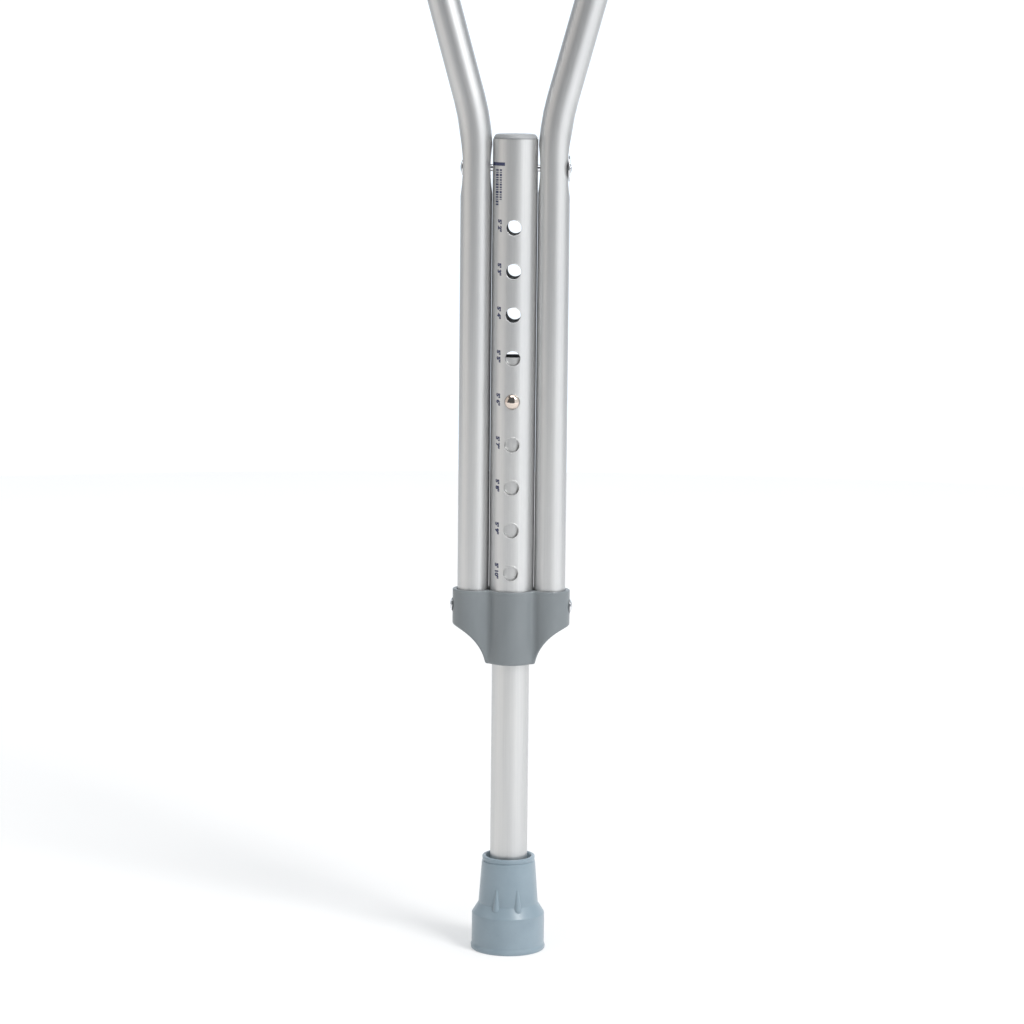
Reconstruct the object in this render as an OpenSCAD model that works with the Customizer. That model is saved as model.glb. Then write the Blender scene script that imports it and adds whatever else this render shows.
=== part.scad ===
// Push-button underarm crutch, adjustable in height and in handgrip height.
// Millimetres. Z is up, X runs from upright to upright, the scale side faces -Y.
// The origin is the middle of the rubber tip's foot, with the button in the middle hole.

/* [Centre tube] */
// Outside diameter of the centre tube
centre_d = 26.4; // [26:0.1:27]
// Wall of the centre tube
centre_wall = 1.9; // [1.6:0.1:1.9]
// Height of the centre tube's top
centre_top = 484; // [480:1:490]
// Height of the centre tube's lower end, inside the collar
centre_bottom = 186; // [184:1:190]
// Number of height holes
hole_count = 9; // [9:2:9]
// Spacing of the height holes
hole_pitch = 25.4; // [25.4:0.1:25.4]
// Height of the lowest height hole
first_hole_z = 229.6; // [228:0.1:232]
// Diameter of the height holes
hole_d = 8.8; // [8.6:0.1:9]
// Height of the plastic cap above the tube
cap_h = 3; // [2.6:0.1:4]

/* [Uprights] */
// Outside diameter of the uprights
upright_d = 18.6; // [18.4:0.1:18.8]
// Wall of the uprights
upright_wall = 1.2; // [1:0.1:1.4]
// Gap between each upright and the centre tube
upright_gap = 0.2; // [0.2:0.1:0.4]
// Centre distance of the uprights beside the handgrip
upright_spread = 130; // [124:1:136]
// Angle at which the uprights spread
bend_angle = 15.4; // [14:0.1:17]
// Radius of the bends
bend_r = 125; // [100:5:140]
// Height at which the uprights start to spread
bend_z = 491.2; // [488:0.1:496]
// Height of the uprights' lower ends, inside the collar
upright_bottom = 200; // [199:1:203]
// Height of the uprights' upper ends, inside the underarm bar
upright_top = 1212; // [1208:1:1214]
// Height of the rivet that joins the uprights and the centre tube
rivet_z = 467; // [466:0.5:469]
// Depth of the dent under the rivet's head and washer
dent_outer = 1.6; // [1:0.1:2]
// Depth of the dent that faces the centre tube
dent_inner = 1.2; // [0.6:0.1:1.6]
// Radius of the dents along the upright
dent_r = 90; // [60:5:120]

/* [Collar] */
// Height of the collar's top
collar_top = 218.5; // [216:0.5:220]
// Height of the collar's bottom
collar_bottom = 174.5; // [172:0.5:176]
// Wall of the collar around each upright
ear_wall = 2.8; // [2.4:0.1:3.2]
// Wall of the collar around the centre tube
lobe_wall = 2.2; // [1.8:0.1:2.6]
// Radius of the hollow curve under each ear
scoop_r = 28; // [27:0.5:29]
// Height of the two collar rivets
collar_rivet_z = 208.6; // [207:0.1:210]

/* [Leg and tip] */
// Outside diameter of the leg tube
leg_d = 22.2; // [22:0.1:22.3]
// Wall of the leg tube
leg_wall = 1.2; // [1:0.1:1.3]
// Length of leg above the button
leg_above_button = 25.9; // [24:0.1:28]
// Height of the rubber tip
tip_h = 57; // [54:1:60]
// Diameter of the rubber tip's body
tip_d = 43.2; // [42:0.1:44]
// Angle of the rubber tip's ribs from the middle of its front and rear
rib_angle = 21.5; // [15:0.5:30]
// How far the snap buttons stand out of the centre tube
button_proud = 2.4; // [2:0.1:2.6]

/* [Handgrip] */
// Height of the handgrip at rest
grip_z = 825; // [815:1:835]
// Number of handgrip holes in each upright
grip_hole_count = 7; // [7:2:7]
// Diameter of the handgrip bolt
grip_bolt_d = 6.2; // [6:0.1:6.35]
// Largest diameter of the handgrip cushion
grip_d = 35; // [33:0.5:38]
// Diameter of the handgrip core's end flanges
grip_flange_d = 30; // [28:0.5:32]
// Span of the wing nut's wings
wing_span = 29; // [26:0.5:32]

/* [Underarm rest] */
// Height of the underarm cushion's highest point
top_z = 1245; // [1240:1:1250]
// Length of the underarm cushion
pad_l = 215; // [205:1:225]
// Width of the underarm cushion
pad_w = 42; // [40:1:44]
// Height of the underarm cushion's flat bottom
pad_bottom = 1189; // [1186:1:1192]
// Radius of the underarm cushion's hollow top
saddle_r = 265; // [250:5:300]
// Thickness of the cushion over the underarm bar
pad_over = 12; // [11:1:14]
// Length of the underarm bar
bar_l = 190; // [180:1:196]
// Width of the underarm bar
bar_w = 26; // [25:1:28]

/* [Hidden] */
$fn = 64;
centre_r = centre_d / 2;
upright_r = upright_d / 2;
leg_r = leg_d / 2;
grip_bolt_r = grip_bolt_d / 2;
fit = 0.05;                // radial clearance of pieces that fit into each other
soft_gap = 0.3;            // clearance round soft pieces
through = 60;              // length of a cutter that goes right through
button_z = first_hole_z + (hole_count - 1) / 2 * hole_pitch;

// Uprights: straight, bend outwards, straight, bend back, straight.
close_x = centre_r + upright_gap + upright_r;
wide_x = upright_spread / 2;
bend_tangent = bend_r * tan(bend_angle / 2);
bend1_start = bend_z - bend_tangent;
bend2_end = bend_z + (wide_x - close_x) / tan(bend_angle) + bend_tangent;
slope_l = (wide_x - close_x) / sin(bend_angle) - 2 * bend_tangent;
join_gap = 0.002;
join_step = 0.02;
join_l = 2;
rivet_r = 2.1;
rivet_seat = 0.13;         // lifts the rivet's seats clear of the dents' curve
rivet_face = close_x + upright_r - dent_outer + rivet_seat;
rivet_head_r = 4.6;
rivet_head_h = 1.8;
washer_r = 7.7;
washer_h = 0.9;
washer_dish = 0.5;
dent_l = 30;

// Collar.
ear_r = upright_r + ear_wall;
lobe_r = centre_r + lobe_wall;
scoop_x = 42.4;
scoop_z = collar_bottom - 4.3;
collar_rivet_r = 1.6;
collar_rivet_head_r = 4;
collar_rivet_head_h = 1.4;

// Leg, tip and snap buttons.
leg_bottom = 11.6;
leg_top = button_z + leg_above_button;
leg_inner_r = leg_r - leg_wall;
tip_r = tip_d / 2;
tip_floor = 9.4;
tip_cone_z = 28.2;
tip_cone_r = 17.7;
tip_neck_r = 15.8;
tip_mouth_r = 13.7;
tip_lip = 3;
insert_h = 2;
button_r = hole_d / 2 - fit;
flange_y = 8.2;
flange_h = 0.8;
flange_r = 5.3;
button_tail_r = 1.4;
button_tail = 1.2;
spring_t = 0.7;
spring_w = 8;
spring_y = flange_y - flange_h - fit;
spring_bend_r = 5;
spring_bend_z = -40;

// Handgrip.
grip_hole_r = grip_bolt_r + 0.1;
grip_l = upright_spread - upright_d - 2 * soft_gap;
grip_flange_h = 3;
grip_core_r = 9.5;
grip_washer_r = 8;
grip_washer_h = 1.4;
grip_washer_x = wide_x + upright_r + 0.1;
nut_x = grip_washer_x + grip_washer_h + fit;
nut_h = 7.5;
nut_r = 5.6;
nut_taper = 0.6;
wing_t = 2.6;
bolt_spare = 7;
bolt_end = nut_x + nut_h + bolt_spare;
bolt_head_r = 7;
bolt_head_h = 3.4;

// Underarm rest.
pad_end_r = 20;
pad_peak_x = pad_l / 2 - pad_end_r;
saddle_z = top_z + sqrt(saddle_r * saddle_r - pad_peak_x * pad_peak_x);
bar_bottom = pad_bottom + 8;
bar_end_r = 8;
bar_screw_r = 2;
bar_screw_head_r = 3.8;
bar_screw_z = bar_bottom + 7;

tube_colour = [0.80, 0.80, 0.80];
collar_colour = [0.52, 0.55, 0.57];
cap_colour = [0.60, 0.61, 0.62];
tip_colour = [0.60, 0.66, 0.70];
cushion_colour = [0.45, 0.48, 0.51];
plated_colour = [0.78, 0.79, 0.80];
nickel_colour = [0.85, 0.80, 0.74];
core_colour = [0.30, 0.31, 0.33];

// ---- Shapes that repeat ----

// A cylinder along X, centred at x.
module x_cylinder(x, z, r, h) {
    translate([x, 0, z]) rotate([0, 90, 0]) cylinder(r = r, h = h, center = true);
}

// A cylinder along Y, centred at x.
module y_cylinder(x, z, r, h) {
    translate([x, 0, z]) rotate([90, 0, 0]) cylinder(r = r, h = h, center = true);
}

// A low dome on the plane z = 0.
module dome(r, h) {
    ball_r = (r * r + h * h) / (2 * h);
    intersection() {
        translate([0, 0, h - ball_r]) sphere(r = ball_r);
        cylinder(r = r, h = h);
    }
}

// A rectangle with round corners, from its lower left corner.
module round_rectangle(w, h, r) {
    translate([r, 0]) square([w - 2 * r, h]);
    translate([0, r]) square([w, h - 2 * r]);
    for (x = [r, w - r], y = [r, h - r]) translate([x, y]) circle(r = r);
}

// One bend of an upright about Y, from angle a, with its centre at [x, z].
module bend(x, z, a, r) {
    translate([x, 0, z]) rotate([90, 0, 0]) rotate([0, 0, a])
        rotate_extrude(angle = bend_angle, $fn = 256) translate([bend_r, 0]) circle(r = r, $fn = 64);
}

// A rod of radius r along the line of the right upright.
module upright_rod(r) {
    slope_x = close_x + bend_r * (1 - cos(bend_angle));
    slope_z = bend1_start + bend_r * sin(bend_angle);
    translate([close_x, 0, upright_bottom]) cylinder(r = r, h = bend1_start - upright_bottom);
    bend(close_x + bend_r, bend1_start, 180 - bend_angle, r);
    // The slope stops a hair short of each bend, and a slightly thinner core joins them.
    translate([slope_x, 0, slope_z]) rotate([0, bend_angle, 0]) {
        translate([0, 0, join_gap]) cylinder(r = r, h = slope_l - 2 * join_gap);
        for (z = [0, slope_l]) translate([0, 0, z]) cylinder(r = r - join_step, h = join_l, center = true);
    }
    bend(wide_x - bend_r, bend2_end, -bend_angle, r);
    translate([wide_x, 0, bend2_end]) cylinder(r = r, h = upright_top - bend2_end);
}

// What the rivet's pull presses out of a rod, each dent reaching extra further in.
module dents(extra) {
    outer_x = close_x + upright_r - dent_outer + dent_r;
    inner_x = close_x - upright_r + dent_inner - dent_r;
    for (x = [outer_x, inner_x])
        translate([x, 0, rivet_z]) rotate([90, 0, 0])
            cylinder(r = dent_r + extra, h = dent_l, center = true, $fn = 360);
}

// The right upright. The left one is its mirror image.
module upright() {
    difference() {
        upright_rod(upright_r);
        dents(0);
        difference() {
            upright_rod(upright_r - upright_wall);
            dents(upright_wall);
        }
        x_cylinder(close_x, rivet_z, rivet_r + fit, through / 2);
        x_cylinder(close_x + upright_r, collar_rivet_z, collar_rivet_r + fit, upright_r);
        for (i = [0:grip_hole_count - 1])
            x_cylinder(wide_x, grip_z + (i - (grip_hole_count - 1) / 2) * hole_pitch, grip_hole_r, through);
        y_cylinder(wide_x, bar_screw_z, bar_screw_r + fit, through);
    }
}

// ---- Frame ----

module left_upright() {
    color(tube_colour) mirror([1, 0, 0]) upright();
}

module right_upright() {
    color(tube_colour) upright();
}

module centre_tube() {
    color(tube_colour) difference() {
        translate([0, 0, centre_bottom]) cylinder(r = centre_r, h = centre_top - centre_bottom);
        translate([0, 0, centre_bottom - 1])
            cylinder(r = centre_r - centre_wall, h = centre_top - centre_bottom + 2);
        for (i = [0:hole_count - 1]) y_cylinder(0, first_hole_z + i * hole_pitch, hole_d / 2, through);
        x_cylinder(0, rivet_z, rivet_r + fit, through);
    }
}

// A plug with a round-edged head that closes the top of the centre tube.
module centre_tube_cap() {
    head_r = centre_r - 0.5;
    edge_r = 2.2;
    plug_l = 9;
    color(cap_colour) rotate_extrude() {
        translate([0, centre_top - plug_l]) square([centre_r - centre_wall - fit, plug_l]);
        translate([0, centre_top]) square([head_r, cap_h - edge_r]);
        translate([0, centre_top]) square([head_r - edge_r, cap_h]);
        intersection() {
            translate([head_r - edge_r, centre_top + cap_h - edge_r]) circle(r = edge_r);
            translate([0, centre_top]) square([head_r, cap_h]);
        }
    }
}

// The three lobes of the collar, in plan.
module collar_plan() {
    web_w = 9;
    circle(r = lobe_r);
    translate([-close_x, -web_w]) square([2 * close_x, 2 * web_w]);
    for (x = [-close_x, close_x]) translate([x, 0]) circle(r = ear_r);
}

// The collar's outside: three lobes with a hollow curve under each ear.
module collar_body() {
    difference() {
        translate([0, 0, collar_bottom]) linear_extrude(collar_top - collar_bottom) collar_plan();
        for (x = [-scoop_x, scoop_x]) y_cylinder(x, scoop_z, scoop_r, through);
    }
}

module collar() {
    slot_w = 6;
    color(collar_colour) difference() {
        collar_body();
        translate([0, 0, collar_bottom - 1]) cylinder(r = leg_r + 0.1, h = collar_top - collar_bottom + 2);
        translate([0, 0, centre_bottom - fit]) cylinder(r = centre_r + fit, h = collar_top);
        for (x = [-close_x, close_x])
            translate([x, 0, upright_bottom - fit]) cylinder(r = upright_r + fit, h = collar_top);
        translate([-close_x, -slot_w / 2, upright_bottom - fit]) cube([2 * close_x, slot_w, collar_top]);
        for (x = [-close_x - ear_r, close_x + ear_r])
            x_cylinder(x, collar_rivet_z, collar_rivet_r + fit, 2 * ear_wall + 1);
    }
}

// One blind rivet through the collar's ear and the upright's outer wall.
module collar_rivet() {
    shank_l = ear_wall + upright_wall;
    tail_r = 2.5;
    tail_h = 2;
    translate([close_x + ear_r, 0, collar_rivet_z]) rotate([0, 90, 0]) {
        dome(collar_rivet_head_r, collar_rivet_head_h);
        translate([0, 0, -shank_l - tail_h]) cylinder(r = collar_rivet_r, h = shank_l + tail_h);
        translate([0, 0, -shank_l - tail_h - 0.4]) cylinder(r = tail_r, h = tail_h);
    }
}

module collar_rivets() {
    color(plated_colour) {
        collar_rivet();
        mirror([1, 0, 0]) collar_rivet();
    }
}

// The rivet that holds both uprights and the centre tube, with its peened end at +X.
module through_rivet() {
    peened_r = 2.7;
    peened_h = 0.9;
    peened_x = rivet_face + fit + washer_h + washer_dish;
    color(plated_colour) {
        x_cylinder((peened_x - rivet_face) / 2, rivet_z, rivet_r, peened_x + rivet_face);
        translate([-rivet_face, 0, rivet_z]) rotate([0, -90, 0]) dome(rivet_head_r, rivet_head_h);
        translate([peened_x, 0, rivet_z]) rotate([0, 90, 0]) dome(peened_r, peened_h);
    }
}

// A dished washer between the right upright and the rivet's peened end.
module rivet_washer() {
    color(plated_colour) translate([rivet_face + fit, 0, rivet_z]) rotate([0, 90, 0])
        rotate_extrude() polygon([
            [rivet_r + fit, 0], [rivet_r + 1, 0], [washer_r, washer_dish],
            [washer_r, washer_h + washer_dish - 0.3], [washer_r - 0.6, washer_h + washer_dish],
            [rivet_r + 1, washer_h + 0.3], [rivet_r + fit, washer_h + 0.3]
        ]);
}

// ---- Underarm rest ----

// Side outline of the underarm rest, with a hollow top of radius r.
module saddle_outline(l, bottom, end_r, r) {
    difference() {
        translate([-l / 2, bottom]) round_rectangle(l, top_z - bottom, end_r);
        translate([0, saddle_z]) circle(r = r, $fn = 360);
    }
}

// The hard bar in the cushion, grown by gap on every side.
module bar_body(gap) {
    rotate([90, 0, 0]) linear_extrude(bar_w + 2 * gap, center = true)
        saddle_outline(bar_l + 2 * gap, bar_bottom - gap, bar_end_r, saddle_r + pad_over - gap);
}

// The countersunk head of an underarm screw, grown by gap.
module screw_head(gap) {
    head_h = bar_screw_head_r - bar_screw_r;
    translate([0, 0, -gap])
        cylinder(r1 = bar_screw_head_r + 2 * gap, r2 = bar_screw_r + gap, h = head_h + gap);
}

// A moulded bar with a socket for the top of each upright.
module underarm_bar() {
    color(core_colour) difference() {
        bar_body(0);
        for (x = [-wide_x, wide_x]) {
            translate([x, 0, bar_bottom - 1])
                cylinder(r = upright_r + fit, h = upright_top - bar_bottom + 1 + fit);
            y_cylinder(x, bar_screw_z, bar_screw_r + fit, through);
            translate([x, -bar_w / 2, bar_screw_z]) rotate([-90, 0, 0]) screw_head(fit);
        }
    }
}

// Soft sleeve over the bar, open round the uprights.
module underarm_cushion() {
    color(cushion_colour) difference() {
        rotate([90, 0, 0]) linear_extrude(pad_w, center = true)
            saddle_outline(pad_l, pad_bottom, pad_end_r, saddle_r);
        bar_body(soft_gap);
        for (x = [-wide_x, wide_x])
            translate([x, 0, pad_bottom - 1])
                cylinder(r = upright_r + soft_gap, h = bar_bottom - pad_bottom + 2);
    }
}

// Two countersunk screws that cross the bar and the uprights' tops.
module underarm_screws() {
    tip_inset = 2;
    color(plated_colour) for (x = [-wide_x, wide_x])
        translate([x, -bar_w / 2, bar_screw_z]) rotate([-90, 0, 0]) {
            cylinder(r = bar_screw_r, h = bar_w - tip_inset);
            screw_head(0);
        }
}

// ---- Leg ----

module leg_tube() {
    color(tube_colour) difference() {
        translate([0, 0, leg_bottom]) cylinder(r = leg_r, h = leg_top - leg_bottom);
        translate([0, 0, leg_bottom - 1]) cylinder(r = leg_inner_r, h = leg_top - leg_bottom + 2);
        y_cylinder(0, button_z, hole_d / 2, through);
    }
}

// One rib that runs down the tip's cone and ends on its shoulder.
module tip_rib() {
    rib_z = 27;
    rib_l = 11;
    rib_foot_r = 2.1;
    rib_top_r = 0.9;
    lean = atan((tip_cone_r - tip_neck_r) / (tip_h - tip_lip - tip_cone_z));
    translate([tip_cone_r, 0, rib_z]) {
        sphere(r = rib_foot_r);
        rotate([0, -lean, 0]) cylinder(r1 = rib_foot_r, r2 = rib_top_r, h = rib_l);
    }
}

// The tip's section: ringed foot, body, shoulder, cone, lip, mouth and bore.
module tip_section() {
    ring_h = 1.2;
    flare = 0.6;
    polygon([
        [0, 0], [5, 0], [5, ring_h], [8, ring_h], [8, 0], [13, 0], [13, ring_h], [16, ring_h], [16, 0],
        [tip_r + flare, 0], [tip_r + flare, 2.2], [tip_r, 3.4],
        [tip_r, 21.6], [tip_r - 0.5, 22.6], [tip_cone_r, tip_cone_z],
        [tip_neck_r, tip_h - tip_lip - 0.3], [tip_neck_r - 0.5, tip_h - tip_lip + 0.2],
        [tip_neck_r - 0.2, tip_h - tip_lip + 0.9], [tip_neck_r - 0.2, tip_h - 0.5], [tip_neck_r - 0.7, tip_h],
        [tip_mouth_r, tip_h], [leg_r + fit, tip_h - 7], [leg_r + fit, tip_floor], [0, tip_floor]
    ]);
}

// The tip has one pair of ribs in front and one behind.
module rubber_tip() {
    color(tip_colour) {
        rotate_extrude($fn = 128) tip_section();
        for (side = [-90, 90], a = [-rib_angle, rib_angle]) rotate([0, 0, side + a]) tip_rib();
    }
}

// Steel disc that keeps the leg from cutting through the tip.
module tip_insert() {
    color(plated_colour) translate([0, 0, tip_floor + fit]) cylinder(r = leg_r - fit, h = insert_h);
}

// Leaf spring bent to a U, which presses the two buttons apart.
module snap_spring() {
    arm_top = 8;
    arm_foot = -10;
    inner_r = spring_bend_r - spring_t;
    function side(y, r) = concat(
        [[y, arm_top], [y, arm_foot]],
        [for (a = [0:-15:-180]) [r * cos(a), spring_bend_z + r * sin(a)]],
        [[-y, arm_foot], [-y, arm_top]]
    );
    inner = side(spring_y - spring_t, inner_r);
    color(plated_colour) difference() {
        translate([0, 0, button_z]) rotate([90, 0, 90]) linear_extrude(spring_w, center = true)
            polygon(concat(side(spring_y, spring_bend_r), [for (i = [len(inner) - 1:-1:0]) inner[i]]));
        y_cylinder(0, button_z, button_tail_r + fit, through);
    }
}

// A snap button that points along -Y: tail, flange, shank and dome.
module snap_button() {
    shank = centre_r - 0.2;
    color(nickel_colour) translate([0, 0, button_z]) rotate([90, 0, 0]) {
        translate([0, 0, flange_y - flange_h - button_tail]) cylinder(r = button_tail_r, h = button_tail);
        translate([0, 0, flange_y - flange_h]) cylinder(r = flange_r, h = flange_h);
        translate([0, 0, flange_y]) cylinder(r = button_r, h = shank - flange_y);
        translate([0, 0, shank]) dome(button_r, button_proud + 0.2);
    }
}

module front_button() {
    snap_button();
}

module rear_button() {
    rotate([0, 0, 180]) snap_button();
}

// ---- Handgrip ----

// Hard core with a flange at each end and a bore for the bolt.
module grip_core() {
    color(core_colour) difference() {
        union() {
            x_cylinder(0, grip_z, grip_core_r, grip_l);
            for (side = [-1, 1])
                x_cylinder(side * (grip_l - grip_flange_h) / 2, grip_z, grip_flange_d / 2, grip_flange_h);
        }
        x_cylinder(0, grip_z, grip_bolt_r + fit, grip_l + 2);
    }
}

// Soft barrel-shaped sleeve between the flanges.
module grip_cushion() {
    half_l = grip_l / 2 - grip_flange_h - soft_gap;
    end_r = grip_flange_d / 2 + 0.5;
    barrel_r = grip_d / 2;
    function barrel(x) = end_r + (barrel_r - end_r) * cos(x / half_l * 80);
    color(cushion_colour) translate([0, 0, grip_z]) rotate([0, 90, 0]) rotate_extrude()
        polygon(concat(
            [[grip_core_r + soft_gap, -half_l]],
            [for (i = [-10:10]) [barrel(i / 10 * half_l), i / 10 * half_l]],
            [[grip_core_r + soft_gap, half_l]]
        ));
}

// Bolt through both uprights and the core, with its domed head at -X.
module grip_bolt() {
    head_x = grip_washer_x + grip_washer_h + fit;
    color(plated_colour) {
        x_cylinder((bolt_end - head_x) / 2, grip_z, grip_bolt_r, bolt_end + head_x);
        translate([-head_x, 0, grip_z]) rotate([0, -90, 0]) dome(bolt_head_r, bolt_head_h);
    }
}

// A plain washer on the grip bolt, its inner face at x.
module grip_washer(x) {
    color(plated_colour) difference() {
        x_cylinder(x + grip_washer_h / 2, grip_z, grip_washer_r, grip_washer_h);
        x_cylinder(x, grip_z, grip_bolt_r + fit, through);
    }
}

module grip_bolt_washer() {
    grip_washer(-grip_washer_x - grip_washer_h);
}

module wing_nut_washer() {
    grip_washer(grip_washer_x);
}

// Outline of the two wings, with X along the bolt.
module wing_outline() {
    wing_r = 4.5;
    wing_l = wing_span / 2 - wing_r;
    wing_lean = 12;
    wing_root = [1.5, 5.5];
    for (side = [0, 1]) mirror([0, side]) {
        translate([nut_h - 1, wing_l]) circle(r = wing_r);
        rotate([0, 0, -wing_lean]) translate([wing_root[0], 0]) square([wing_root[1], wing_l]);
    }
}

module wing_nut() {
    color(plated_colour) difference() {
        translate([nut_x, 0, grip_z]) {
            rotate([0, 90, 0]) cylinder(r1 = nut_r, r2 = nut_r - nut_taper, h = nut_h);
            rotate([90, 0, 0]) linear_extrude(wing_t, center = true) wing_outline();
        }
        x_cylinder(nut_x, grip_z, grip_bolt_r + fit, through);
    }
}

left_upright();
right_upright();
centre_tube();
centre_tube_cap();
collar();
collar_rivets();
through_rivet();
rivet_washer();
underarm_bar();
underarm_cushion();
underarm_screws();
leg_tube();
rubber_tip();
tip_insert();
snap_spring();
front_button();
rear_button();
grip_core();
grip_cushion();
grip_bolt();
grip_bolt_washer();
wing_nut_washer();
wing_nut();
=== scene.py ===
"""The looks of a push-button underarm crutch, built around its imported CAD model.

Metres, Z up, the height scale faces -Y. Shapes are worked out in millimetres, then scaled.
"""
import math

import bmesh
import bpy
import numpy as np
from mathutils import Matrix, Vector

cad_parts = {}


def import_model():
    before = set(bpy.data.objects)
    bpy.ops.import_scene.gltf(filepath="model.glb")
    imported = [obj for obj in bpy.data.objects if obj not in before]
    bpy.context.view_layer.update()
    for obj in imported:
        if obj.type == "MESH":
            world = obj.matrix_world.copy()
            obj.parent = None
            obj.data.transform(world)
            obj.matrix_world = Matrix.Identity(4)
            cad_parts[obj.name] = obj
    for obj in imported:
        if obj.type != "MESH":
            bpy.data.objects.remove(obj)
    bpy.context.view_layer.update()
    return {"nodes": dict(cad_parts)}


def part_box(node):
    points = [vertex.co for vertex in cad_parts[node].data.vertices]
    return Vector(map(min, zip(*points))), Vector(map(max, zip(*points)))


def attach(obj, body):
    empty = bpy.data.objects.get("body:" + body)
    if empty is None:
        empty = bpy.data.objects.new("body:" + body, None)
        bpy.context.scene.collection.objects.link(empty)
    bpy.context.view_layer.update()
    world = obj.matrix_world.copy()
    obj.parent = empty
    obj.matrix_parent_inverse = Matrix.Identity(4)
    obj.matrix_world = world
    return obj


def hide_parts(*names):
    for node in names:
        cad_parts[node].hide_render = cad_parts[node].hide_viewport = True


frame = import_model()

MM = 0.001
INK_DEPTH = 0.05
HOLES, FIRST_HOLE, HOLE_PITCH, HOLE_R = 9, 229.6, 25.4, 4.4
scene = bpy.context.scene


# ---- Helpers: frame ----

def box_mm(node):
    """The lowest and highest corner of a CAD node, in millimetres."""
    low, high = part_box(node)
    return np.array(low) / MM, np.array(high) / MM


def link(piece, material, body, replaced=()):
    """Puts a piece in the scene, dresses it and lets it ride on a body."""
    piece.data.materials.clear()
    piece.data.materials.append(material)
    scene.collection.objects.link(piece)
    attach(piece, body)
    if replaced:
        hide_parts(*replaced)
    return piece


def mesh_piece(name, points, faces, sharp=35):
    """A mesh object from points in millimetres, with an edge sharper than sharp degrees kept."""
    mesh = bpy.data.meshes.new(name)
    mesh.from_pydata([tuple(p) for p in np.asarray(points, float) * MM], [], faces)
    mesh.validate()
    mesh.update()
    mesh.shade_smooth()
    mesh.set_sharp_from_angle(angle=math.radians(sharp))
    return bpy.data.objects.new(name, mesh)


# ---- Helpers: turned shapes ----

AXES = {
    "+Z": np.array([[1, 0, 0], [0, 1, 0], [0, 0, 1]]),
    "+X": np.array([[0, 0, 1], [1, 0, 0], [0, 1, 0]]),
    "-X": np.array([[0, 0, -1], [-1, 0, 0], [0, 1, 0]]),
    "-Y": np.array([[1, 0, 0], [0, 0, -1], [0, 1, 0]]),
    "+Y": np.array([[-1, 0, 0], [0, 0, 1], [0, 1, 0]]),
}


def rounded(corners, steps=5):
    """The outline through (radius, height, rounding) corners, each rounded by an arc."""
    out = []
    for i, (x, y, rounding) in enumerate(corners):
        corner = np.array([x, y], float)
        if rounding <= 0 or i in (0, len(corners) - 1):
            out.append(corner)
            continue
        back = np.array(corners[i - 1][:2]) - corner
        ahead = np.array(corners[i + 1][:2]) - corner
        back_l, ahead_l = np.linalg.norm(back), np.linalg.norm(ahead)
        back, ahead = back / back_l, ahead / ahead_l
        half = math.acos(np.clip(back @ ahead, -1, 1)) / 2
        if half > math.radians(89):
            out.append(corner)
            continue
        cut = min(rounding / math.tan(half), back_l * 0.48, ahead_l * 0.48)
        radius = cut * math.tan(half)
        middle = (back + ahead) / np.linalg.norm(back + ahead)
        centre = corner + middle * radius / math.sin(half)
        start, end = corner + back * cut - centre, corner + ahead * cut - centre
        a0, a1 = math.atan2(start[1], start[0]), math.atan2(end[1], end[0])
        turn = (a1 - a0 + math.pi) % (2 * math.pi) - math.pi
        for k in range(steps + 1):
            a = a0 + turn * k / steps
            out.append(centre + radius * np.array([math.cos(a), math.sin(a)]))
    return np.array(out)


def lathe(profile, axis="+Z", origin=(0, 0, 0), steps=96, closed=False):
    """Points and faces of a (radius, height) profile turned about an axis. A closed profile makes a ring."""
    profile = np.asarray(profile, float)
    angles = np.arange(steps) * 2 * math.pi / steps
    points, rows = [], []
    for r, z in profile:
        if r < 1e-6:
            rows.append([len(points)] * steps)
            points.append((0, 0, z))
        else:
            rows.append(list(range(len(points), len(points) + steps)))
            points += [(r * math.cos(a), r * math.sin(a), z) for a in angles]
    pairs = list(zip(rows, rows[1:]))
    if closed:
        pairs.append((rows[-1], rows[0]))
    faces = []
    for low, high in pairs:
        for i in range(steps):
            j = (i + 1) % steps
            face = [low[i], low[j], high[j], high[i]]
            face = [v for k, v in enumerate(face) if v != face[k - 1]]
            if len(face) > 2:
                faces.append(face)
    return np.array(points) @ AXES[axis].T + np.array(origin, float), faces


def turned_piece(name, corners, axis, origin, steps=96, closed=False):
    """A mesh object turned from rounded corners."""
    outline = rounded(corners + corners[:2] if closed else corners)
    if closed:
        outline = outline[1:-1]
    return mesh_piece(name, *lathe(outline, axis, origin, steps, closed))


# ---- Helpers: moulded shapes ----

def smooth_min(a, b, k):
    """The union of two fields, with a fillet of about k."""
    h = np.clip(0.5 + 0.5 * (b - a) / k, 0, 1)
    return b + (a - b) * h - k * h * (1 - h)


def smooth_max(a, b, k):
    """The overlap of two fields, with edges rounded by about k."""
    return -smooth_min(-a, -b, k)


def remeshed(name, source, voxel):
    """A copy of a mesh, rebuilt from voxels of that size in millimetres."""
    piece = bpy.data.objects.new(name, source.copy())
    scene.collection.objects.link(piece)
    remesh = piece.modifiers.new("voxels", "REMESH")
    remesh.mode = "VOXEL"
    remesh.voxel_size = voxel * MM
    apply_modifiers(piece)
    scene.collection.objects.unlink(piece)
    return piece


def apply_modifiers(piece):
    """Bakes a piece's modifiers into its mesh."""
    depsgraph = bpy.context.evaluated_depsgraph_get()
    mesh = bpy.data.meshes.new_from_object(piece.evaluated_get(depsgraph))
    piece.modifiers.clear()
    piece.data = mesh


def points_of(piece):
    """A piece's points, in millimetres."""
    flat = np.empty(len(piece.data.vertices) * 3)
    piece.data.vertices.foreach_get("co", flat)
    return flat.reshape(-1, 3) / MM


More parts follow.
